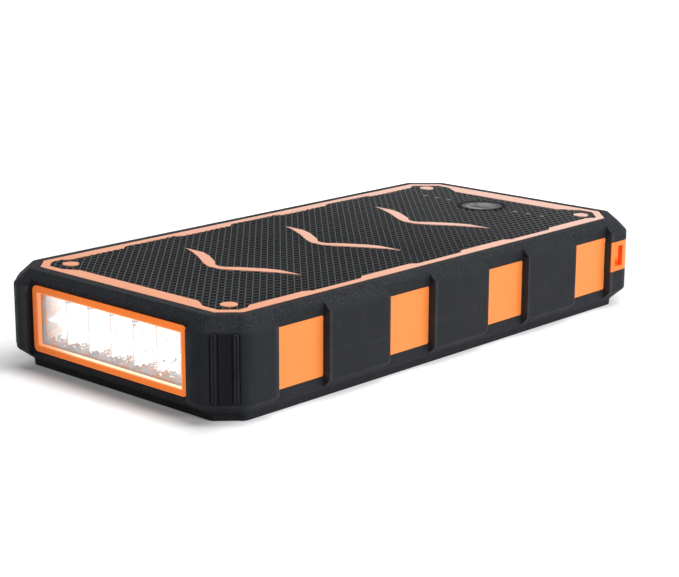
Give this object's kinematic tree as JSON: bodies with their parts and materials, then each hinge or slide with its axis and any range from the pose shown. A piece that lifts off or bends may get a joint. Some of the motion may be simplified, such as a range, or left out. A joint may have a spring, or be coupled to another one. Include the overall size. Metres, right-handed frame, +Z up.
{
  "type": "jump starter pack",
  "caption": "Flat lithium jump starter pack in a notched rubber bumper, with an end lamp, a sprung power button, a lanyard eye and sockets under a hinged rubber cover.",
  "frame": {"origin": "centre of the underside, on the surface the pack lies on", "axes": "+Z up through the textured top, -Y towards the lamp, +X towards the side with the lanyard eye"},
  "size_m": [0.1, 0.1984, 0.03],
  "materials": {
    "bumper_rubber": "matt black elastomer, fine grain on the bands",
    "case_plastic": "matt black, crosshatched on top",
    "accent_plastic": "satin salmon orange",
    "insert_plastic": "satin orange",
    "bezel_plastic": "gloss orange",
    "screw_steel": "plated steel",
    "button_plastic": "gloss black",
    "dome_rubber": "translucent grey silicone",
    "part_plastic": "moulded component black",
    "lens_plastic": "milky light guide",
    "lamp_glazing": "clear polycarbonate",
    "reflector_plastic": "vacuum-metallised cups",
    "led_plastic": "lit white light source",
    "white_board": "white solder mask",
    "socket_steel": "nickel-plated shell",
    "tongue_plastic": "blue contact tongue",
    "jump_plastic": "blue nylon",
    "contact_brass": "gold-plated brass and copper",
    "green_board": "green solder mask",
    "cell_foil": "aluminium laminate pouch",
    "foam": "closed-cell foam"
  },
  "bodies": {
    "pack": {"bumper": "bumper_rubber", "top_cover": "case_plastic", "bottom_case": "case_plastic", "border_trim": "accent_plastic", "chevron_inlays": "accent_plastic", "screw_caps": "accent_plastic", "case_screws": "screw_steel", "button_ring": "case_plastic", "button_dome": "dome_rubber", "tact_switch": "part_plastic", "indicator_lenses": "lens_plastic", "side_inserts_right": "insert_plastic", "side_inserts_left": "insert_plastic", "lamp_bezel": "bezel_plastic", "lamp_lens": "lamp_glazing", "lamp_reflector": "reflector_plastic", "led_emitters": "led_plastic", "lamp_board": "white_board", "lanyard_eye": "insert_plastic", "port_panel": "case_plastic", "cover_root": "bumper_rubber", "usb_a_shells": "socket_steel", "usb_a_tongues": "tongue_plastic", "usb_c_socket": "socket_steel", "jump_socket": "jump_plastic", "jump_contacts": "contact_brass", "main_board": "green_board", "board_parts": "part_plastic", "battery_cells": "cell_foil", "cell_tabs": "contact_brass", "bus_bars": "contact_brass", "foam_pads": "foam"},
    "button": {"power_button": "button_plastic"},
    "cover": {"port_cover": "bumper_rubber"}
  },
  "joints": [
    {"name": "button_press", "type": "slide", "parent": "pack", "child": "button", "axis": [0, 0, -1], "range_m": [0, 0.0006], "stiffness_N_per_m": 1200, "deforming": ["button_dome"]},
    {"name": "cover_hinge", "type": "hinge", "parent": "pack", "child": "cover", "pos_m": [-0.03275, 0.0987, 0.0164], "axis": [0, 0, 1], "range_deg": [0, 110]}
  ]
}
